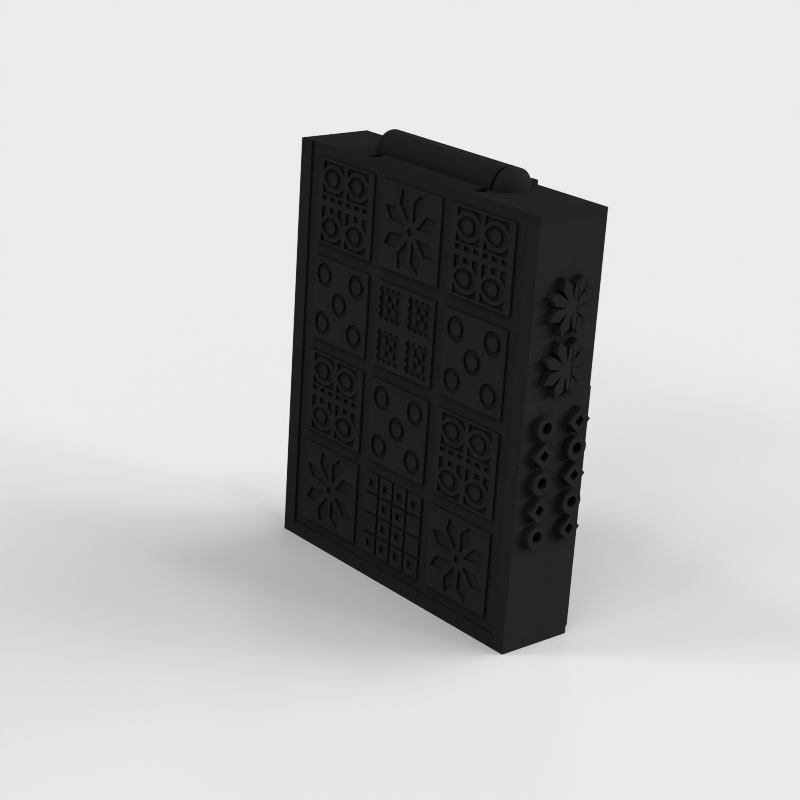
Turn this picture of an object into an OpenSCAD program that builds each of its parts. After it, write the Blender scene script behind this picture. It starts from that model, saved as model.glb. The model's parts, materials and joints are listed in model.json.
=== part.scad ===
// Folding board for the game of Ur, stored upright: a front half with twelve squares and a back half
// with eight, hinged along the top edge, with the counters and the dice kept between them.
// X is the width, Y the depth with the twelve squares facing -Y, Z is up.
// The origin is on the bottom face, midway across the width and across the depth of the closed case.

/* [Playing squares] */
// Side of one playing square
tile = 30; // [26:0.5:34]
// Gap between neighbouring squares, kept across the fold as well
tile_gap = 4.7; // [4.6:0.1:7]
// Thickness of the square's plate
tile_t = 2.2; // [1.8:0.1:2.8]
// Clearance between a square and the edge of its seat
tile_fit = 0.04; // [0.02:0.01:0.3]
// Height of a square above the floor round it
tile_stand = 0.9; // [0.5:0.1:1.2]
// Depth of the patterns cut into the squares
cut_depth = 0.9; // [0.4:0.05:1.2]

/* [Case] */
// Depth of the front half, from the squares to the seam
front_depth = 16.6; // [16:0.1:20]
// Depth of the back half, from the seam to its plain face
back_depth = 12.2; // [12:0.1:16]
// Width of the raised edge at the sides
side_lip = 5.7; // [4:0.1:9]
// Floor between the raised edge and the outer squares
side_margin = 4.7; // [2:0.1:8]
// Height of the raised edge at the foot
bottom_lip = 5; // [3:0.1:9]
// Floor between the foot's raised edge and the lowest squares
bottom_margin = 4.2; // [2:0.1:8]
// Floor above the top row of the front half
top_margin = 4.4; // [2.5:0.1:4.5]
// Height of the back half's board frame above its plain face
frame_rise = 0.45; // [0.2:0.05:1]
// Thickness of the side, bottom and compartment walls
wall = 2.4; // [1.6:0.1:3.2]
// Plastic left behind a square's seat
skin = 1.25; // [1:0.05:2]
// Solid plastic between the storage space and the hinge side's face
hinge_beam = 10; // [9.8:0.1:13]

/* [Hinge] */
// Radius of the barrel
barrel_r = 7.25; // [6.5:0.05:8]
// Half the length of the middle knuckle
knuckle_half = 26.6; // [20:0.1:32]
// Gap between the middle knuckle and the right end knuckle
right_gap = 1.2; // [0.3:0.1:2.6]
// Gap between the middle knuckle and the left end knuckle
left_gap = 0.1; // [0.1:0.05:0.5]
// Width of the slots in front of the barrel that take the fins
slot_w = 3.3; // [3:0.1:4]
// How far the slots reach past the middle knuckle's ends
slot_past = 1.4; // [1:0.1:2]
// Depth of those slots below the case's top
slot_depth = 3; // [2:0.1:4]
// Clearance round a fin in its slot
fin_fit = 0.2; // [0.1:0.05:0.4]
// Length of the right end knuckle up to its domed end
right_knuckle_l = 2.7; // [2.5:0.1:8]
// Length of the left end knuckle up to its domed end
left_knuckle_l = 4.4; // [2.5:0.1:8]
// Height of the domed end
dome_h = 3; // [1.5:0.1:4]
// Clearance round a knuckle in the other half
knuckle_clear = 0.35; // [0.2:0.05:0.5]
// Height of the guide fins above the case's top
fin_rise = 1.4; // [1:0.05:1.7]
// Radius of the hinge pin
pin_r = 1.5; // [1:0.1:2]
// Running clearance between the pin and the middle knuckle
pin_run = 0.05; // [0.02:0.01:0.1]
// Clearance between the pin and the end knuckles that hold it
pin_grip = 0.01; // [0.01:0.01:0.02]

/* [Closure] */
// Radius of a closure magnet
magnet_r = 3; // [2:0.1:4]
// Thickness of a closure magnet
magnet_t = 2.5; // [1.5:0.1:3]
// How far a magnet lies under the seam face
magnet_set = 0.1; // [0.05:0.05:0.3]
// Clearance round a magnet in its pocket
magnet_fit = 0.05; // [0.02:0.01:0.1]

/* [Counters and dice] */
// Radius of a counter
counter_r = 10; // [8:0.1:10.2]
// Thickness of a counter
counter_t = 5; // [4:0.1:5.5]
// Radius of a counter's five pits
pip_r = 1.5; // [1:0.1:2]
// Depth of a counter's five pits
pip_depth = 0.8; // [0.4:0.1:1.2]
// Counters on each side
counters = 7; // [7]
// Length of a die's edge
die_edge = 13; // [10:0.5:13.5]
// Part of the edge cut off each corner of a die
die_tip = 0.9; // [0.5:0.1:1.5]
// Clearance round the counters in their channels
store_fit = 0.3; // [0.2:0.05:0.5]
// Thinnest wall of the rack and of the dice tray
rack_wall = 1.2; // [1:0.1:2]
// Radius of the pegs that locate the rack and the tray
peg_r = 1.5; // [1:0.1:1.8]
// Height of those pegs
peg_h = 2; // [1:0.1:3]

/* [Side ornament] */
// Height of the ornament above the side face
ornament_rise = 2.8; // [0.6:0.1:3]
// Radius of its two large rosettes, which the seam cuts through
badge_r = 10.2; // [8:0.1:10.4]
// Radius of the rings and lozenges below them
bead_r = 4; // [2.5:0.1:4.2]
// Distance between those rings and lozenges
bead_pitch = 9.4; // [9:0.1:10]

/* [Hidden] */
SQUARES = ["square_a1", "square_b1", "square_c1", "square_a2", "square_b2", "square_c2",
    "square_a3", "square_b3", "square_c3", "square_a4", "square_b4", "square_c4",
    "square_b5", "square_b6", "square_a7", "square_b7", "square_c7", "square_a8", "square_b8", "square_c8"];
COUNTERS = ["light_counter_1", "light_counter_2", "light_counter_3", "light_counter_4", "light_counter_5",
    "light_counter_6", "light_counter_7", "dark_counter_1", "dark_counter_2", "dark_counter_3",
    "dark_counter_4", "dark_counter_5", "dark_counter_6", "dark_counter_7"];

$fn = 64;
past = 1; // how far a cut runs past the face that it opens
pitch = tile + tile_gap;
columns = 3;
front_rows = 4;
back_rows = 4;
block_rows = 2;
case_w = 2 * (side_lip + side_margin) + columns * tile + (columns - 1) * tile_gap;
case_h = bottom_lip + bottom_margin + front_rows * pitch - tile_gap + top_margin;
front_y = -(front_depth + back_depth) / 2;
seam_y = front_y + front_depth;
plain_y = seam_y + back_depth;
frame_y = plain_y + frame_rise;
seat_depth = tile_t - tile_stand;
front_floor_y = front_y + tile_stand;
front_inner_y = front_y + tile_t + skin;
back_floor_y = frame_y - tile_stand;
back_inner_y = frame_y - tile_t - skin;
inner_w = case_w - 2 * wall;
inner_top = case_h - hinge_beam;
// The first row behind the fold lies one gap from the last row before it
back_top_margin = tile_gap - top_margin;
block_margin = side_lip + side_margin;
block_bottom = case_h - back_top_margin - back_rows * pitch + tile_gap - block_margin;
block_top = block_bottom + 2 * block_margin + block_rows * pitch - tile_gap;
bridge_floor_w = tile + 2 * side_margin;

trough_r = barrel_r + knuckle_clear;
right_knuckle_x = knuckle_half + right_gap;
left_knuckle_x = knuckle_half + left_gap;
right_end = right_knuckle_x + right_knuckle_l;
left_end = left_knuckle_x + left_knuckle_l;
slot_out = knuckle_half + slot_past;
slot_in = slot_out - slot_w;
slot_reach = frame_y - seam_y + 2 * fin_fit;
fin_in = slot_in + fin_fit;
fin_out = slot_out - fin_fit;
// The slope to the barrel stays under the first square behind the fold when the board is open
ramp_rise = min(0.3, back_top_margin);
ramp_clear = 0.1;
ramp_foot = front_depth - 3;
pin_left = -(left_end + dome_h / 2);
pin_right = right_end;
plug_t = 1;

corner = 2 * (magnet_r + magnet_fit) + wall * 2;
magnet_x = case_w / 2 - corner / 2;
magnet_z = corner / 2;

channel_r = counter_r + store_fit;
channel_x = channel_r + rack_wall * 1.8;
rack_half = channel_x + channel_r + rack_wall * 1.8;
channel_l = counters * counter_t + store_fit;
rack_h = channel_l + 2 * wall;
rack_face_y = seam_y - store_fit;
channel_y = front_inner_y + rack_wall + channel_r;
scoop_w = 18;
scoop_depth = 6;

die_h = die_edge * sqrt(2 / 3);
die_side = die_edge * sqrt(3) / 2;
cell_w = die_edge + 4 * store_fit;
cell_h = die_h + 3 * store_fit;
dice = 4;
tray_w = dice * cell_w + (dice + 1) * rack_wall;
tray_h = cell_h + 2 * rack_wall;
// The rack and the tray leave three equal spaces in the height
store_space = (inner_top - wall - rack_h - tray_h) / 3;
tray_z = wall + store_space;
rack_z = tray_z + tray_h + store_space;
rack_pegs = [[0, rack_z + wall * 2], [0, rack_z + rack_h - wall * 2]];
peg_fit = 0.1;

case_colour = [0.09, 0.09, 0.095];
square_colour = [0.1, 0.1, 0.105];
rack_colour = [0.14, 0.14, 0.15];
steel_colour = [0.72, 0.73, 0.75];
light_colour = [0.86, 0.82, 0.72];
dark_colour = [0.16, 0.22, 0.36];

// Places on the two playing faces. Column 0 is at -X, row 0 is at the foot of the front half.
function column_x(column) = (column - (columns - 1) / 2) * pitch;
function front_row_z(row) = bottom_lip + bottom_margin + tile / 2 + row * pitch;
function back_row_z(row) = case_h - back_top_margin - tile / 2 - row * pitch;

module box(low, high) {
    translate(low) cube(high - low);
}

// A cylinder along X about the hinge's axis
module about_axis(r, x0, x1) {
    translate([x0, seam_y, case_h]) rotate([0, 90, 0]) cylinder(r = r, h = x1 - x0);
}

module on_front_face(x, z) {
    translate([x, front_y, z]) rotate([90, 0, 0]) children();
}

module on_back_face(x, z) {
    translate([x, frame_y, z]) rotate([90, 0, 180]) children();
}

// Patterns of the squares, as flat shapes that are cut into the plate

petal_inner = 3.1;
petal_shoulder = 10.1;
petal_half = 2.7;
petal_outer = 14.6;
rosette_eye_r = 1.4;
petals = 8;
steep_petal = 20.5;
shallow_petal = 63;

// Eight petals, a little closer together above and below than at the sides
module rosette_pattern() {
    for (half = [0, 180], side = [-1, 1], lean = [steep_petal, shallow_petal])
        rotate(half + 90 + side * lean)
            polygon([[petal_inner, 0], [petal_shoulder, -petal_half], [petal_outer, 0],
                [petal_shoulder, petal_half]]);
    circle(r = rosette_eye_r);
}

ring_outer = 4.3;
ring_inner = 2.4;
ring_place = 8.8;

module ring() {
    difference() {
        circle(r = ring_outer);
        circle(r = ring_inner);
    }
}

module rings_pattern() {
    ring();
    for (x = [-ring_place, ring_place], y = [-ring_place, ring_place])
        translate([x, y]) ring();
}

eye_window = 11.2;
eye_x = 6.6;
eye_y = 8.55;
lid_half_w = 6.6;
lid_half_h = 5;
almond_half_w = 5.4;
almond_half_h = 3.45;
pupil_r = 2.15;
pit_w = 2.6;
pit_h = 1.6;
pit_pitch = 4.4;
pit_y = 1.35;
lash_top = 7;

// A pointed oval between two arcs
module lens(half_w, half_h) {
    r = (half_w * half_w + half_h * half_h) / (2 * half_h);
    intersection() {
        translate([0, r - half_h]) circle(r = r);
        translate([0, half_h - r]) circle(r = r);
    }
}

// The lower eyes have three short bars above the lid in place of the window's upper corners
module eye(lower) {
    difference() {
        union() {
            translate([-eye_window / 2, -eye_window / 2])
                square([eye_window, lower ? eye_window / 2 : eye_window]);
            if (lower)
                for (i = [-1:1])
                    translate([i * pit_pitch - pit_w / 2, 0]) square([pit_w, lash_top]);
        }
        lens(lid_half_w, lid_half_h);
    }
    difference() {
        lens(almond_half_w, almond_half_h);
        circle(r = pupil_r);
    }
}

module eyes_pattern() {
    for (x = [-eye_x, eye_x]) {
        translate([x, eye_y]) eye(false);
        translate([x, -eye_y]) eye(true);
    }
    for (i = [-2.5:2.5])
        translate([i * pit_pitch, pit_y]) square([pit_w, pit_h], center = true);
}

quad_w = 9.8;
quad_place = 7.5;
notches = 4;
notch_pitch = 2.9;
notch_half = 1.2;
notch_h = 1.1;
check_w = 1.85;

// A sunken square with notches that point outwards from its edges and five raised checks in its middle
module notched_quad() {
    difference() {
        union() {
            square(quad_w, center = true);
            for (side = [0:3], i = [0:notches - 1])
                rotate(side * 90) translate([(i - (notches - 1) / 2) * notch_pitch, quad_w / 2])
                    polygon([[-notch_half, -past], [-notch_half, 0], [0, notch_h], [notch_half, 0],
                        [notch_half, -past]]);
        }
        square(check_w, center = true);
        for (x = [-check_w, check_w] * 1.15, y = [-check_w, check_w] * 1.15)
            translate([x, y]) square(check_w, center = true);
    }
}

module zigzag_pattern() {
    for (x = [-quad_place, quad_place], y = [-quad_place, quad_place])
        translate([x, y]) notched_quad();
}

groove_w = 1.05;
cell_pit = 2.7;

module grid_pattern() {
    cell = tile / 4;
    for (i = [-1:1]) {
        translate([i * cell, 0]) square([groove_w, tile + 2 * past], center = true);
        translate([0, i * cell]) square([tile + 2 * past, groove_w], center = true);
    }
    for (i = [-1.5:1.5], j = [-1.5:1.5])
        if (abs(i) < 1 || abs(j) > 1)
            translate([i * cell, j * cell]) square(cell_pit, center = true);
}

lozenge_half = 13;
lozenge_band = 1.5;
corner_pit_place = 11;

module lozenge(half) {
    rotate(45) square(half * sqrt(2), center = true);
}

module lozenge_pattern() {
    for (half = [lozenge_half, lozenge_half / 2])
        difference() {
            lozenge(half);
            lozenge(half - lozenge_band);
        }
    circle(r = rosette_eye_r);
    for (x = [-corner_pit_place, corner_pit_place], y = [-corner_pit_place, corner_pit_place])
        translate([x, y]) lozenge(cell_pit);
}

// One playing square: its outer face is at z = 0 and its plate lies below
module playing_square(motif) {
    color(square_colour)
        difference() {
            translate([0, 0, -tile_t]) linear_extrude(tile_t) square(tile, center = true);
            translate([0, 0, -cut_depth]) linear_extrude(cut_depth + past) {
                if (motif == "rosette") rosette_pattern();
                if (motif == "rings") rings_pattern();
                if (motif == "eyes") eyes_pattern();
                if (motif == "zigzag") zigzag_pattern();
                if (motif == "grid") grid_pattern();
                if (motif == "lozenge") lozenge_pattern();
            }
        }
}

module front_square(column, row, motif) {
    on_front_face(column_x(column), front_row_z(row)) playing_square(motif);
}

// On the back half, row 0 is next to the fold
module back_square(column, row, motif) {
    on_back_face(column_x(column), back_row_z(row)) playing_square(motif);
}

module square_a1() { front_square(0, 0, "rosette"); }
module square_b1() { front_square(1, 0, "grid"); }
module square_c1() { front_square(2, 0, "rosette"); }
module square_a2() { front_square(0, 1, "eyes"); }
module square_b2() { front_square(1, 1, "rings"); }
module square_c2() { front_square(2, 1, "eyes"); }
module square_a3() { front_square(0, 2, "rings"); }
module square_b3() { front_square(1, 2, "zigzag"); }
module square_c3() { front_square(2, 2, "rings"); }
module square_a4() { front_square(0, 3, "eyes"); }
module square_b4() { front_square(1, 3, "rosette"); }
module square_c4() { front_square(2, 3, "eyes"); }
module square_b5() { back_square(1, 0, "rings"); }
module square_b6() { back_square(1, 1, "eyes"); }
module square_a7() { back_square(0, 2, "rosette"); }
module square_b7() { back_square(1, 2, "zigzag"); }
module square_c7() { back_square(2, 2, "rosette"); }
module square_a8() { back_square(0, 3, "lozenge"); }
module square_b8() { back_square(1, 3, "rings"); }
module square_c8() { back_square(2, 3, "lozenge"); }

// The pocket that a square is glued into
module seat(top_open = false) {
    side = tile + 2 * tile_fit;
    translate([-side / 2, -side / 2, -tile_t])
        cube([side, side + (top_open ? tile_gap : 0), tile_t + past]);
}

// Half-solids of an end knuckle, as the hinge's own shape or as the room that it turns in
module end_knuckle(side, inner_x, grow = 0) {
    r = barrel_r + grow;
    height = dome_h + grow;
    end_x = side > 0 ? right_end : left_end;
    ball = (r * r + height * height) / (2 * height);
    translate([0, seam_y, case_h]) rotate([0, side * 90, 0])
        intersection() {
            translate([0, 0, inner_x]) cylinder(r = r, h = end_x + height - inner_x);
            translate([0, 0, end_x + height - ball]) sphere(r = ball, $fn = 96);
        }
}

module corner_blocks(y0, y1) {
    for (side = [-1, 1])
        translate([side * (case_w - corner) / 2, (y0 + y1) / 2, corner / 2])
            cube([corner, y1 - y0, corner], center = true);
}

module magnet_pockets(y0, y1) {
    for (side = [-1, 1])
        translate([side * magnet_x, y0, magnet_z]) rotate([-90, 0, 0])
            cylinder(r = magnet_r + magnet_fit, h = y1 - y0);
}

module front_shell() {
    difference() {
        box([-case_w / 2, front_y, 0], [case_w / 2, seam_y, case_h]);
        // The floor round the squares runs out at the fold
        box([-case_w / 2 + side_lip, front_y - past, bottom_lip],
            [case_w / 2 - side_lip, front_floor_y, case_h + past]);
        for (column = [0:columns - 1], row = [0:front_rows - 1])
            on_front_face(column_x(column), front_row_z(row)) seat();
        difference() {
            box([-inner_w / 2, front_inner_y, wall], [inner_w / 2, seam_y + past, inner_top]);
            corner_blocks(front_inner_y - past, seam_y + 2 * past);
        }
        magnet_pockets(seam_y - magnet_set - magnet_t, seam_y + past);
        fin_slots();
    }
}

// Slots that take the back half's fins when the board is open
module fin_slots() {
    for (side = [-1, 1])
        translate([side * (slot_in + slot_out) / 2, seam_y - slot_reach / 2, case_h])
            cube([slot_w, slot_reach, 2 * slot_depth], center = true);
}

module front_pegs() {
    for (peg = rack_pegs)
        translate([peg[0], front_inner_y - past / 2, peg[1]]) rotate([-90, 0, 0])
            cylinder(r = peg_r, h = peg_h + past / 2);
}

// A very low slope that leads up to the middle knuckle from the playing face's side
module ramp() {
    translate([-slot_in, seam_y, case_h]) rotate([90, 0, 90]) linear_extrude(2 * slot_in)
        polygon([[-ramp_foot, -past], [-ramp_foot, 0], [-barrel_r, ramp_rise], [-pin_r, ramp_rise], [-pin_r, -past]]);
}

// The room for that slope in the back half's top
module ramp_room() {
    translate([-fin_in, seam_y, case_h - ramp_clear]) rotate([90, 0, 90]) linear_extrude(2 * fin_in)
        polygon([[0, past], [0, -ramp_rise], [barrel_r, -ramp_rise], [ramp_foot, 0], [ramp_foot, past]]);
}

module front_case() {
    color(case_colour)
        difference() {
            union() {
                front_shell();
                about_axis(barrel_r, -knuckle_half, knuckle_half);
                ramp();
                front_pegs();
            }
            // Room for the end knuckles and for the gaps beside the middle one
            end_knuckle(1, knuckle_half, knuckle_clear);
            end_knuckle(-1, knuckle_half, knuckle_clear);
            about_axis(pin_r + pin_run, -knuckle_half - past, knuckle_half + past);
        }
}

module back_shell() {
    difference() {
        union() {
            box([-case_w / 2, seam_y, 0], [case_w / 2, plain_y, case_h]);
            // The frame of the six squares, and that of the bridge with its fins
            box([-case_w / 2, plain_y - past, block_bottom], [case_w / 2, frame_y, block_top]);
            box([-fin_out, plain_y - past, block_top - past], [fin_out, frame_y, case_h]);
            fin(fin_in, fin_out);
            fin(-fin_out, -fin_in);
        }
        box([-case_w / 2 + side_lip, back_floor_y, block_bottom + side_lip],
            [case_w / 2 - side_lip, frame_y + past, block_top - side_lip]);
        box([-bridge_floor_w / 2, back_floor_y, block_bottom + side_lip],
            [bridge_floor_w / 2, frame_y + past, case_h + past]);
        on_back_face(column_x(1), back_row_z(0)) seat(top_open = true);
        on_back_face(column_x(1), back_row_z(1)) seat();
        for (column = [0:columns - 1], row = [block_rows:back_rows - 1])
            on_back_face(column_x(column), back_row_z(row)) seat();
        difference() {
            box([-inner_w / 2, seam_y - past, wall], [inner_w / 2, back_inner_y, inner_top]);
            corner_blocks(seam_y - 2 * past, back_inner_y + past);
        }
        magnet_pockets(seam_y - past, seam_y + magnet_set + magnet_t);
        // Room for the middle knuckle, for the gap beside it and for the slope when the board is open
        about_axis(trough_r, -left_knuckle_x, right_knuckle_x);
        ramp_room();
    }
}

// A fin behind the barrel, which keeps the open halves in line
module fin(x0, x1) {
    box([x0, seam_y + pin_r, case_h - trough_r], [x1, frame_y, case_h + fin_rise]);
}

module back_case() {
    color(case_colour)
        difference() {
            union() {
                back_shell();
                end_knuckle(1, right_knuckle_x);
                end_knuckle(-1, left_knuckle_x);
            }
            about_axis(pin_r + pin_grip, -left_end - dome_h - past, pin_right + store_fit);
        }
}

module hinge_pin() {
    color(steel_colour) about_axis(pin_r, pin_left, pin_right);
}

module pin_plug() {
    color(case_colour) about_axis(pin_r, pin_left - plug_t, pin_left);
}

module magnets(y0) {
    color(steel_colour)
        for (side = [-1, 1])
            translate([side * magnet_x, y0, magnet_z]) rotate([-90, 0, 0])
                cylinder(r = magnet_r, h = magnet_t);
}

module front_magnets() { magnets(seam_y - magnet_set - magnet_t); }
module back_magnets() { magnets(seam_y + magnet_set); }

// Rack with a half-round channel for each side's counters
module counter_rack() {
    color(rack_colour)
        difference() {
            box([-rack_half, front_inner_y, rack_z], [rack_half, rack_face_y, rack_z + rack_h]);
            for (side = [-1, 1])
                translate([side * channel_x, channel_y, rack_z + wall])
                    cylinder(r = channel_r, h = channel_l);
            box([-rack_half - past, rack_face_y - scoop_depth, rack_z + (rack_h - scoop_w) / 2],
                [rack_half + past, rack_face_y + past, rack_z + (rack_h + scoop_w) / 2]);
            for (peg = rack_pegs)
                translate([peg[0], front_inner_y - past, peg[1]]) rotate([-90, 0, 0])
                    cylinder(r = peg_r + peg_fit, h = peg_h + peg_fit + past);
        }
}

// Tray with a cell for each die
module dice_tray() {
    color(rack_colour)
        difference() {
            box([-tray_w / 2, front_inner_y, tray_z], [tray_w / 2, rack_face_y, tray_z + tray_h]);
            for (i = [0:dice - 1]) {
                x0 = -tray_w / 2 + rack_wall + i * (cell_w + rack_wall);
                box([x0, front_inner_y + rack_wall, tray_z + rack_wall],
                    [x0 + cell_w, rack_face_y + past, tray_z + rack_wall + cell_h]);
            }
        }
}

module counter(shade) {
    pip_place = counter_r * 0.5;
    color(shade)
        difference() {
            cylinder(r = counter_r, h = counter_t);
            translate([0, 0, counter_t - pip_depth]) {
                cylinder(r = pip_r, h = pip_depth + past);
                for (i = [0:3])
                    rotate(45 + i * 90) translate([pip_place, 0])
                        cylinder(r = pip_r, h = pip_depth + past);
            }
        }
}

module stored_counter(side, i, shade) {
    translate([side * channel_x, channel_y, rack_z + wall + i * counter_t]) counter(shade);
}

module light_counter(i) { stored_counter(-1, i - 1, light_colour); }
module dark_counter(i) { stored_counter(1, i - 1, dark_colour); }

// A triangular pyramid that stands on one face, with its corners cut off
module pyramid(edge) {
    side = edge * sqrt(3) / 2;
    height = edge * sqrt(2 / 3);
    polyhedron(
        points = [[-edge / 2, -side / 3, 0], [edge / 2, -side / 3, 0], [0, side * 2 / 3, 0], [0, 0, height]],
        faces = [[0, 1, 2], [1, 0, 3], [2, 1, 3], [0, 2, 3]]);
}

// The cutting pyramid is the same one turned over and enlarged about the centre
module die(i) {
    centre = die_h / 4;
    cut_scale = 3 - 4 * die_tip / die_edge;
    x = -tray_w / 2 + rack_wall + cell_w / 2 + (i - 1) * (cell_w + rack_wall);
    color(light_colour)
        translate([x, front_inner_y + rack_wall + store_fit + die_side / 3, tray_z + rack_wall])
            intersection() {
                pyramid(die_edge);
                translate([0, 0, centre]) rotate([180, 0, 0]) translate([0, 0, -centre * cut_scale])
                    pyramid(die_edge * cut_scale);
            }
}

// Side ornament: traditional figures standing on the right side of each half

module upright(y, z) {
    translate([case_w / 2, y, z]) rotate([90, 0, 90]) linear_extrude(ornament_rise) children();
}

bead_hole = 2;
ornament_low = 41;
small_motifs = 5;
badge_low = 97.6;
badge_pitch = 20.6;
seam_gap = 0.15;

module bead_ring() {
    difference() {
        circle(r = bead_r);
        circle(r = bead_hole);
    }
}

module open_lozenge() {
    difference() {
        lozenge(bead_r + 0.6);
        lozenge(bead_hole);
    }
}

module badge() {
    shoulder = badge_r * 0.68;
    half = badge_r * 0.2;
    for (i = [0:petals - 1])
        rotate((i + 0.5) * 360 / petals)
            polygon([[0, 0], [badge_r * 0.3, -half * 0.55], [shoulder, -half], [badge_r, 0], [shoulder, half],
                [badge_r * 0.3, half * 0.55]]);
    circle(r = badge_r * 0.26);
}

module badges() {
    for (i = [0:1])
        upright((front_y + plain_y) / 2, badge_low + i * badge_pitch) badge();
}

module ornament_column(y, first) {
    for (i = [0:small_motifs - 1])
        upright(y, ornament_low + i * bead_pitch)
            if ((i + first) % 2 == 0) bead_ring(); else open_lozenge();
}

module front_ornament() {
    color(case_colour) {
        ornament_column((front_y + seam_y) / 2, 0);
        intersection() {
            badges();
            box([0, front_y, 0], [case_w, seam_y - seam_gap, case_h]);
        }
    }
}

module back_ornament() {
    color(case_colour) {
        ornament_column((seam_y + plain_y) / 2, 1);
        intersection() {
            badges();
            box([0, seam_y + seam_gap, 0], [case_w, plain_y, case_h]);
        }
    }
}

front_case();
back_case();
hinge_pin();
pin_plug();
front_magnets();
back_magnets();
counter_rack();
dice_tray();
front_ornament();
back_ornament();
square_a1();
square_b1();
square_c1();
square_a2();
square_b2();
square_c2();
square_a3();
square_b3();
square_c3();
square_a4();
square_b4();
square_c4();
square_b5();
square_b6();
square_a7();
square_b7();
square_c7();
square_a8();
square_b8();
square_c8();
light_counter(1);  // light_counter_1
light_counter(2);  // light_counter_2
light_counter(3);  // light_counter_3
light_counter(4);  // light_counter_4
light_counter(5);  // light_counter_5
light_counter(6);  // light_counter_6
light_counter(7);  // light_counter_7
dark_counter(1);  // dark_counter_1
dark_counter(2);  // dark_counter_2
dark_counter(3);  // dark_counter_3
dark_counter(4);  // dark_counter_4
dark_counter(5);  // dark_counter_5
dark_counter(6);  // dark_counter_6
dark_counter(7);  // dark_counter_7
die(1);  // die_1
die(2);  // die_2
die(3);  // die_3
die(4);  // die_4
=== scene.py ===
"""Looks of the folding board: printed plastic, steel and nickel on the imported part, in a pale studio."""

import json
import math

import bpy
from mathutils import Matrix, Vector

# Colours, linear
CASE_BLACK = (0.0155, 0.0155, 0.0155)
SQUARE_BLACK = (0.0163, 0.0163, 0.0163)
STORE_GREY = (0.030, 0.030, 0.032)
IVORY = (0.62, 0.54, 0.39)
DEEP_BLUE = (0.012, 0.035, 0.13)
STEEL = (0.58, 0.58, 0.60)
NICKEL = (0.70, 0.69, 0.66)

# Gloss of the black plastics, hardly any
BLACK_SPECULAR = 0.004

# Printed plastic, in metres: layers, streaks along them, grain and patches of uneven sheen
LAYER = 0.0003
LAYER_WAVER = 2.0
STREAK = 0.0008
STREAK_STRETCH = (0.04, 0.04, 1)
STREAK_DEPTH = 0.00008
STREAK_STRENGTH = 0.35
GRAIN = 0.0005
GRAIN_DEPTH = 0.00002
GRAIN_STRENGTH = 0.35
PATCH = 0.02
SHEEN_SPREAD = 0.06
# Depth of a layer's edge on a wall, and what leaning faces such as the barrel's add to it
LAYER_EDGE = 0.00001
LAYER_STEP = 0.00010
LEAN_POWER = 12
FLAT_POWER = 200
# Painted highlight on the edges of the wide steps on leaning faces, as if they caught the light; how sharp
# and how bright it is
PAINTED_HIGHLIGHT_SHARPNESS = 3
PAINTED_HIGHLIGHT_STRENGTH = 2.0

# Squares, printed face down: the nozzle's lines on their faces
NOZZLE_LINE = 0.00045
NOZZLE_TURN = (0, math.radians(45), 0)
NOZZLE_WAVER = 0.3
NOZZLE_DEPTH = 0.00002
NOZZLE_STRENGTH = 0.25
SQUARE_GRAIN = 0.0006
SQUARE_GRAIN_STRENGTH = 0.3
SQUARE_PATCH = 0.012
SQUARE_VARIATION = 0.12
SQUARE_ROUGHNESS = (0.66, 0.78)

# Painted shade in recesses: how far round it a recess looks for walls, and its tone where it is quite shut
# in
PAINTED_SHADE_REACH = 0.004
PAINTED_SHADE_DARKEST = 0.3
PAINTED_SHADE_SAMPLES = 12
# How far up a recess looks for walls, so that the painted shade gathers under edges
PAINTED_SHADE_TILT = (0, 0, 1)
# Faces this near the seam's plane are shut in only while the case is closed, so they get no painted shade
SEAM_BAND = 0.00005

# Rounding of the counters' rims and of the dice's edges
RIM_ROUND = 0.0007
RIM_SAMPLES = 6

# Metals: scratches along the drawn wire, handling marks on the plating
SCRATCH = 0.00015
SCRATCH_STRETCH = (0.02, 1, 1)
SCRATCH_DEPTH = 0.00001
SCRATCH_STRENGTH = 0.3
STEEL_DARKEST = 0.85
STEEL_ROUGHNESS = (0.25, 0.42)
MARK = 0.0012
NICKEL_DARKEST = 0.88
NICKEL_ROUGHNESS = (0.12, 0.30)

# Wave textures: the distance at which one of scale 1 repeats, and the scale of its wavering
WAVE_REPEAT = math.tau / 20
WAVE_DETAIL_SCALE = 0.4

# Width of the filter over each pixel, for edges as crisp as the photograph's
PIXEL_FILTER_PX = 1.0

# Camera, fitted to the photograph
IMAGE_PX = 800
FOCAL_PX = 1915.3
SENSOR_MM = 36.0
CAMERA_PLACE = Vector((0.46022, -0.41287, 0.28895))
CAMERA_AZIMUTH = math.radians(49.07)
CAMERA_ELEVATION = math.radians(19.79)
CAMERA_ROLL = math.radians(3.78)

# Studio
BACKDROP_GREY = 0.83
FLOOR_GREY = 0.80
FLOOR_VARIATION = 0.005
FLOOR_FIBRE = 0.004
FLOOR_ROUGHNESS = 0.9
FLOOR_SIZE = 14.0
WORLD_LIGHT = 0.225
LAMP_WIDTH = math.radians(10)
# Each softbox is a row of lamps: its elevation, then each lamp's azimuth and strength, angles in degrees
SOFTBOXES = {
    "low_back_softbox": (
        13, [(125, 0.30), (135, 0.62), (145, 0.84), (155, 0.47), (165, 0.66), (175, 0.42), (185, 0.17)]),
    "right_back_softbox": (28, [(115, 0.42)]),
    "high_back_softbox": (50, [(150, 0.13)]),
    "far_softbox": (35, [(225, 0.15)]),
    "front_softbox": (30, [(-5, 0.16), (5, 0.28), (15, 0.06), (25, 0.28), (35, 0.16)]),
    "low_left_softbox": (42, [(-35, 0.11), (-25, 0.17)]),
    "high_left_softbox": (55, [(-35, 0.35)]),
    "overhead_softbox": (70, [(90, 0.29), (180, 0.20)]),
}

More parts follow.
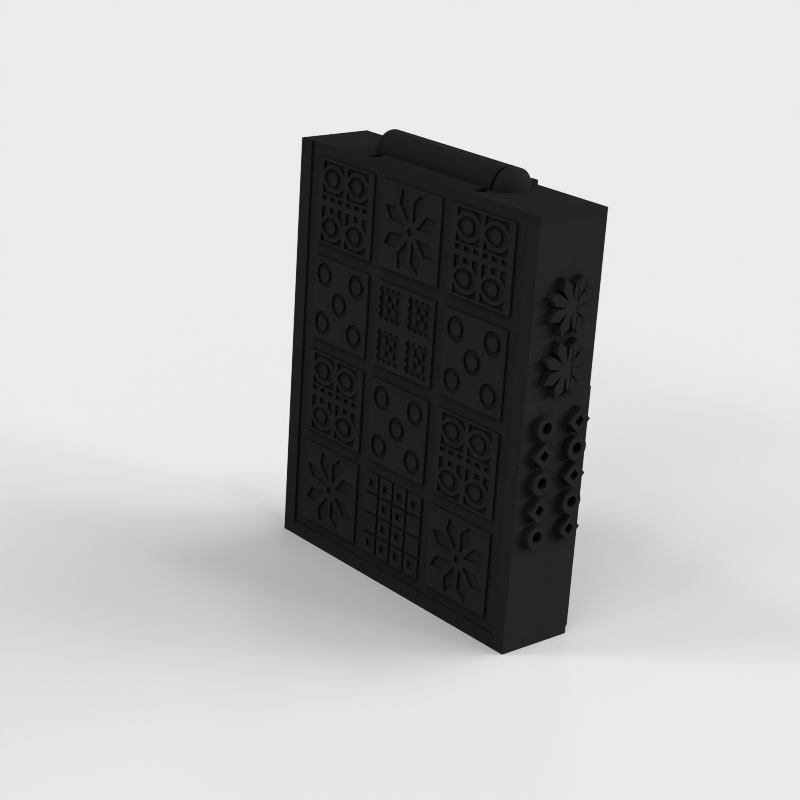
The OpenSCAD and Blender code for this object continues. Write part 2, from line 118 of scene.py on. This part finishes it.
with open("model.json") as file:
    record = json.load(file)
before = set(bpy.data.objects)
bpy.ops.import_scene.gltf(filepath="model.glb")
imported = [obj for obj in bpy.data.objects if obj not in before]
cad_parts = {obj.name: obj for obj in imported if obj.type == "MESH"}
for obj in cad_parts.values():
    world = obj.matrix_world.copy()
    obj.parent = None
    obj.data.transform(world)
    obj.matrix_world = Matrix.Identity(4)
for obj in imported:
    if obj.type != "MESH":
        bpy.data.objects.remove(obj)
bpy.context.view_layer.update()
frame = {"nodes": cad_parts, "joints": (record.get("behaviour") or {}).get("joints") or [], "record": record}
# The halves meet under the hinge's axis
fold = frame["joints"][0]
seam_y = fold["pos_m"][1]


# Node helpers

def new_material(name):
    """An empty material with its shader: (material, nodes, links, shader)."""
    material = bpy.data.materials.new(name)
    material.use_nodes = True
    nodes = material.node_tree.nodes
    links = material.node_tree.links
    return material, nodes, links, nodes["Principled BSDF"]


def place_coordinates(nodes, links, scale=(1, 1, 1), turn=(0, 0, 0)):
    """Coordinates of the shared frame as they are in the closed case, scaled and then turned."""
    coordinates = nodes.new("ShaderNodeTexCoord")
    mapping = nodes.new("ShaderNodeMapping")
    mapping.inputs["Scale"].default_value = scale
    mapping.inputs["Rotation"].default_value = turn
    links.new(coordinates.outputs["Object"], mapping.inputs["Vector"])
    return mapping.outputs["Vector"]


def noise(nodes, links, vector, size, detail=3.0, roughness=0.5):
    """Noise whose features are about size metres across."""
    node = nodes.new("ShaderNodeTexNoise")
    node.inputs["Scale"].default_value = 1.0 / size
    node.inputs["Detail"].default_value = detail
    node.inputs["Roughness"].default_value = roughness
    links.new(vector, node.inputs["Vector"])
    return node.outputs["Fac"]


def bands(nodes, links, vector, direction, period, waver, phase=0.0):
    """Bands across direction, one each period metres, that waver a little."""
    node = nodes.new("ShaderNodeTexWave")
    node.wave_type = "BANDS"
    node.bands_direction = direction
    node.inputs["Scale"].default_value = WAVE_REPEAT / period
    node.inputs["Distortion"].default_value = waver
    node.inputs["Phase Offset"].default_value = phase
    node.inputs["Detail Scale"].default_value = WAVE_DETAIL_SCALE
    links.new(vector, node.inputs["Vector"])
    return node.outputs["Fac"]


def map_range(nodes, links, value, low, high):
    """Value, from 0 to 1, as a number from low to high."""
    node = nodes.new("ShaderNodeMapRange")
    node.inputs["To Min"].default_value = low
    node.inputs["To Max"].default_value = high
    links.new(value, node.inputs["Value"])
    return node.outputs["Result"]


def blend_colours(nodes, links, value, dark, light):
    """Colour between dark and light as value goes from 0 to 1."""
    node = nodes.new("ShaderNodeMix")
    node.data_type = "RGBA"
    node.inputs["A"].default_value = (*dark, 1)
    node.inputs["B"].default_value = (*light, 1)
    links.new(value, node.inputs["Factor"])
    return node.outputs["Result"]


def bump(nodes, links, height, distance, strength, normal=None):
    """The face's direction over small heights, on top of another such direction where one is given."""
    node = nodes.new("ShaderNodeBump")
    node.inputs["Distance"].default_value = distance
    node.inputs["Strength"].default_value = strength
    links.new(height, node.inputs["Height"])
    if normal is not None:
        links.new(normal, node.inputs["Normal"])
    return node.outputs["Normal"]


def calculate(nodes, links, operation, *values):
    """The result of one operation on constants and other nodes' outputs."""
    node = nodes.new("ShaderNodeMath")
    node.operation = operation
    for socket, value in zip(node.inputs, values):
        if isinstance(value, bpy.types.NodeSocket):
            links.new(value, socket)
        else:
            socket.default_value = value
    return node.outputs["Value"]


def coordinate_of(nodes, links, vector, axis):
    """One coordinate of a vector."""
    parts = nodes.new("ShaderNodeSeparateXYZ")
    links.new(vector, parts.inputs["Vector"])
    return parts.outputs[axis]


def toned(nodes, links, colour, tone):
    """Colour times a tone, where 1 leaves it as it is."""
    node = nodes.new("ShaderNodeVectorMath")
    node.operation = "SCALE"
    links.new(colour, node.inputs["Vector"])
    links.new(tone, node.inputs["Scale"])
    return node.outputs["Vector"]


def painted_recess_shade(nodes, links):
    """Painted shade as a tone: 1 on open faces, faces that look up and faces at the seam, lower in slots,
    cuts and corners.
    """
    face = nodes.new("ShaderNodeNewGeometry").outputs["Normal"]
    tilted = nodes.new("ShaderNodeVectorMath")
    tilted.operation = "ADD"
    tilted.inputs[1].default_value = PAINTED_SHADE_TILT
    links.new(face, tilted.inputs[0])
    aim = nodes.new("ShaderNodeVectorMath")
    aim.operation = "NORMALIZE"
    links.new(tilted.outputs["Vector"], aim.inputs["Vector"])
    openness = nodes.new("ShaderNodeAmbientOcclusion")
    openness.samples = PAINTED_SHADE_SAMPLES
    openness.inputs["Distance"].default_value = PAINTED_SHADE_REACH
    links.new(aim.outputs["Vector"], openness.inputs["Normal"])
    tone = map_range(nodes, links, openness.outputs["AO"], PAINTED_SHADE_DARKEST, 1.0)
    y = coordinate_of(nodes, links, place_coordinates(nodes, links), "Y")
    at_seam = calculate(nodes, links, "COMPARE", y, seam_y, SEAM_BAND)
    tone = calculate(nodes, links, "MAXIMUM", tone, at_seam)
    return calculate(nodes, links, "MAXIMUM", tone, coordinate_of(nodes, links, face, "Z"))


def rounded_edges(nodes, radius):
    """The face's direction, turned near sharp edges as if they were rounded."""
    node = nodes.new("ShaderNodeBevel")
    node.samples = RIM_SAMPLES
    node.inputs["Radius"].default_value = radius
    return node.outputs["Normal"]


def lean(nodes, links):
    """How much a face shows the layers' steps: 0 on a wall and on a flat top, near 1 on a gentle slope."""
    face = nodes.new("ShaderNodeTexCoord").outputs["Normal"]
    up = coordinate_of(nodes, links, face, "Z")
    sloping = calculate(nodes, links, "POWER", up, LEAN_POWER)
    flat = calculate(nodes, links, "POWER", up, FLAT_POWER)
    return calculate(nodes, links, "MULTIPLY", sloping, calculate(nodes, links, "SUBTRACT", 1.0, flat))


def shade(colour, amount):
    """A constant colour times an amount."""
    return tuple(c * amount for c in colour)


def varied(nodes, links, value, colour, spread):
    """Colour a share darker to a share lighter than a constant colour, as value goes from 0 to 1."""
    return blend_colours(nodes, links, value, shade(colour, 1 - spread), shade(colour, 1 + spread))


# Materials

def printed_plastic(name, colour, roughness, specular, variation=0.16, rim=0.0, paint_recess_shade=False):
    """Plastic printed upright: fine layers, broader streaks along them, a slightly uneven sheen, painted
    highlights on leaning layers' edges, and painted shade in recesses when asked.
    """
    material, nodes, links, shader = new_material(name)
    plain = place_coordinates(nodes, links)
    stretched = place_coordinates(nodes, links, STREAK_STRETCH)
    streaks = noise(nodes, links, stretched, STREAK, detail=4.0, roughness=0.6)
    patches = noise(nodes, links, plain, PATCH)
    grain = noise(nodes, links, plain, GRAIN, detail=2.0)
    layers = bands(nodes, links, plain, "Z", LAYER, LAYER_WAVER, phase=math.pi)
    leaning = lean(nodes, links)
    tone = varied(nodes, links, streaks, colour, variation)
    # Painted highlight: the layers' crests on leaning faces lighten the base colour
    crests = calculate(nodes, links, "POWER", layers, PAINTED_HIGHLIGHT_SHARPNESS)
    edges = calculate(nodes, links, "MULTIPLY", crests, leaning)
    painted_highlight_tone = map_range(nodes, links, calculate(nodes, links, "MULTIPLY", edges, streaks), 1.0, 1.0 + PAINTED_HIGHLIGHT_STRENGTH)
    tone = toned(nodes, links, tone, painted_highlight_tone)
    # Painted shade in slots, cuts, corners and under edges darkens the base colour
    if paint_recess_shade:
        tone = toned(nodes, links, tone, painted_recess_shade(nodes, links))
    links.new(tone, shader.inputs["Base Color"])
    sheen = map_range(nodes, links, patches, roughness - SHEEN_SPREAD, roughness + SHEEN_SPREAD)
    links.new(sheen, shader.inputs["Roughness"])
    shader.inputs["Specular IOR Level"].default_value = specular
    solid = rounded_edges(nodes, rim) if rim else None
    fine = bump(nodes, links, grain, GRAIN_DEPTH, GRAIN_STRENGTH, solid)
    # The layers' height is in metres already
    depth = map_range(nodes, links, leaning, LAYER_EDGE, LAYER_EDGE + LAYER_STEP)
    height = calculate(nodes, links, "MULTIPLY", layers, depth)
    ridged = bump(nodes, links, height, distance=1.0, strength=1.0, normal=fine)
    links.new(bump(nodes, links, streaks, STREAK_DEPTH, STREAK_STRENGTH, ridged), shader.inputs["Normal"])
    return material


def square_plastic():
    """Face of a square as it came off the print bed: nozzle lines at 45 degrees under a soft sheen, with
    painted shade in its grooves and corners.
    """
    material, nodes, links, shader = new_material("square_plastic")
    plain = place_coordinates(nodes, links)
    turned = place_coordinates(nodes, links, turn=NOZZLE_TURN)
    lines = bands(nodes, links, turned, "X", NOZZLE_LINE, NOZZLE_WAVER)
    patches = noise(nodes, links, plain, SQUARE_PATCH, detail=4.0)
    grain = noise(nodes, links, plain, SQUARE_GRAIN, detail=2.0)
    tone = varied(nodes, links, patches, SQUARE_BLACK, SQUARE_VARIATION)
    # Painted shade in grooves, corners and under edges darkens the base colour
    links.new(toned(nodes, links, tone, painted_recess_shade(nodes, links)), shader.inputs["Base Color"])
    links.new(map_range(nodes, links, patches, *SQUARE_ROUGHNESS), shader.inputs["Roughness"])
    shader.inputs["Specular IOR Level"].default_value = BLACK_SPECULAR
    fine = bump(nodes, links, grain, GRAIN_DEPTH, SQUARE_GRAIN_STRENGTH)
    links.new(bump(nodes, links, lines, NOZZLE_DEPTH, NOZZLE_STRENGTH, fine), shader.inputs["Normal"])
    return material


def drawn_steel():
    """Steel wire with fine scratches along its length."""
    material, nodes, links, shader = new_material("pin_steel")
    scratches = noise(nodes, links, place_coordinates(nodes, links, SCRATCH_STRETCH), SCRATCH)
    tone = blend_colours(nodes, links, scratches, shade(STEEL, STEEL_DARKEST), STEEL)
    links.new(tone, shader.inputs["Base Color"])
    links.new(map_range(nodes, links, scratches, *STEEL_ROUGHNESS), shader.inputs["Roughness"])
    links.new(bump(nodes, links, scratches, SCRATCH_DEPTH, SCRATCH_STRENGTH), shader.inputs["Normal"])
    shader.inputs["Metallic"].default_value = 1.0
    return material


def nickel_plating():
    """Plated magnet: bright, with faint handling marks."""
    material, nodes, links, shader = new_material("magnet_plating")
    marks = noise(nodes, links, place_coordinates(nodes, links), MARK, detail=5.0, roughness=0.65)
    tone = blend_colours(nodes, links, marks, shade(NICKEL, NICKEL_DARKEST), NICKEL)
    links.new(tone, shader.inputs["Base Color"])
    links.new(map_range(nodes, links, marks, *NICKEL_ROUGHNESS), shader.inputs["Roughness"])
    shader.inputs["Metallic"].default_value = 1.0
    return material


MATERIALS = {
    "case_plastic": printed_plastic(
        "case_plastic", CASE_BLACK, roughness=0.72, specular=BLACK_SPECULAR, paint_recess_shade=True),
    "square_plastic": square_plastic(),
    "store_plastic": printed_plastic(
        "store_plastic", STORE_GREY, roughness=0.55, specular=0.35),
    "light_counter_plastic": printed_plastic(
        "light_counter_plastic", IVORY, roughness=0.48, specular=0.45, variation=0.05, rim=RIM_ROUND),
    "dark_counter_plastic": printed_plastic(
        "dark_counter_plastic", DEEP_BLUE, roughness=0.45, specular=0.45, variation=0.08, rim=RIM_ROUND),
    "die_plastic": printed_plastic(
        "die_plastic", IVORY, roughness=0.42, specular=0.5, variation=0.04, rim=RIM_ROUND),
    "pin_steel": drawn_steel(),
    "magnet_plating": nickel_plating(),
}


def dress_nodes():
    """Gives each CAD node the material of its slot in the record."""
    for subpart in frame["record"]["subparts"]:
        node = frame["nodes"][subpart["node"]]
        node.data.materials.clear()
        node.data.materials.append(MATERIALS[subpart["material_slot"]])


# Studio

def make_world():
    """Even pale light from all round, with the backdrop's own grey for what the camera sees."""
    world = bpy.data.worlds.new("studio")
    bpy.context.scene.world = world
    world.use_nodes = True
    nodes = world.node_tree.nodes
    links = world.node_tree.links
    light = nodes["Background"]
    light.inputs["Color"].default_value = (1, 1, 1, 1)
    light.inputs["Strength"].default_value = WORLD_LIGHT
    backdrop = nodes.new("ShaderNodeBackground")
    backdrop.inputs["Color"].default_value = (BACKDROP_GREY, BACKDROP_GREY, BACKDROP_GREY, 1)
    rays = nodes.new("ShaderNodeLightPath")
    mix = nodes.new("ShaderNodeMixShader")
    links.new(rays.outputs["Is Camera Ray"], mix.inputs["Fac"])
    links.new(light.outputs["Background"], mix.inputs[1])
    links.new(backdrop.outputs["Background"], mix.inputs[2])
    links.new(mix.outputs["Shader"], nodes["World Output"].inputs["Surface"])


def make_floor():
    """A matt pale floor under the case."""
    half = FLOOR_SIZE / 2
    mesh = bpy.data.meshes.new("floor")
    corners = [(-half, -half, 0), (half, -half, 0), (half, half, 0), (-half, half, 0)]
    mesh.from_pydata(corners, [], [(0, 1, 2, 3)])
    floor = bpy.data.objects.new("floor", mesh)
    # The floor shuts in no recess, so the case's lowest edge gets no painted shade from it
    floor.visible_shadow = False
    bpy.context.scene.collection.objects.link(floor)
    material, nodes, links, shader = new_material("floor_paper")
    fibres = noise(nodes, links, place_coordinates(nodes, links), FLOOR_FIBRE, detail=4.0)
    tone = varied(nodes, links, fibres, (FLOOR_GREY,) * 3, FLOOR_VARIATION)
    links.new(tone, shader.inputs["Base Color"])
    shader.inputs["Roughness"].default_value = FLOOR_ROUGHNESS
    shader.inputs["Specular IOR Level"].default_value = 0.0
    mesh.materials.append(material)


def outward(azimuth, elevation):
    """Direction at an azimuth and elevation. Azimuth is 0 before the twelve squares, 90 degrees at +X."""
    return Vector((
        math.sin(azimuth) * math.cos(elevation),
        -math.cos(azimuth) * math.cos(elevation),
        math.sin(elevation),
    ))


def lamp(name, azimuth, elevation, strength):
    """A distant lamp, its angles in degrees."""
    light = bpy.data.lights.new(name, "SUN")
    light.energy = strength
    light.angle = LAMP_WIDTH
    towards = outward(math.radians(azimuth), math.radians(elevation))
    holder = bpy.data.objects.new(name, light)
    holder.rotation_mode = "QUATERNION"
    holder.rotation_quaternion = towards.to_track_quat("Z", "Y")
    bpy.context.scene.collection.objects.link(holder)


def make_lights():
    """Softboxes all round. The low wide one behind and to the right throws the long soft shadow."""
    for name, (elevation, row) in SOFTBOXES.items():
        for azimuth, strength in row:
            lamp(name, azimuth, elevation, strength)


def make_camera():
    """The photograph's camera: its place, its three turns and its focal length in pixels."""
    back = outward(CAMERA_AZIMUTH, CAMERA_ELEVATION)
    level_right = Vector((math.cos(CAMERA_AZIMUTH), math.sin(CAMERA_AZIMUTH), 0))
    level_up = back.cross(level_right)
    right = math.cos(CAMERA_ROLL) * level_right + math.sin(CAMERA_ROLL) * level_up
    up = math.cos(CAMERA_ROLL) * level_up - math.sin(CAMERA_ROLL) * level_right
    data = bpy.data.cameras.new("camera")
    data.sensor_width = SENSOR_MM
    data.lens = SENSOR_MM * FOCAL_PX / IMAGE_PX
    camera = bpy.data.objects.new("camera", data)
    turn = Matrix((right, up, back)).transposed().to_4x4()
    camera.matrix_world = Matrix.Translation(CAMERA_PLACE) @ turn
    bpy.context.scene.collection.objects.link(camera)
    bpy.context.scene.camera = camera


dress_nodes()
make_world()
make_floor()
make_lights()
make_camera()
bpy.context.scene.view_settings.view_transform = "Standard"
bpy.context.scene.cycles.filter_width = PIXEL_FILTER_PX
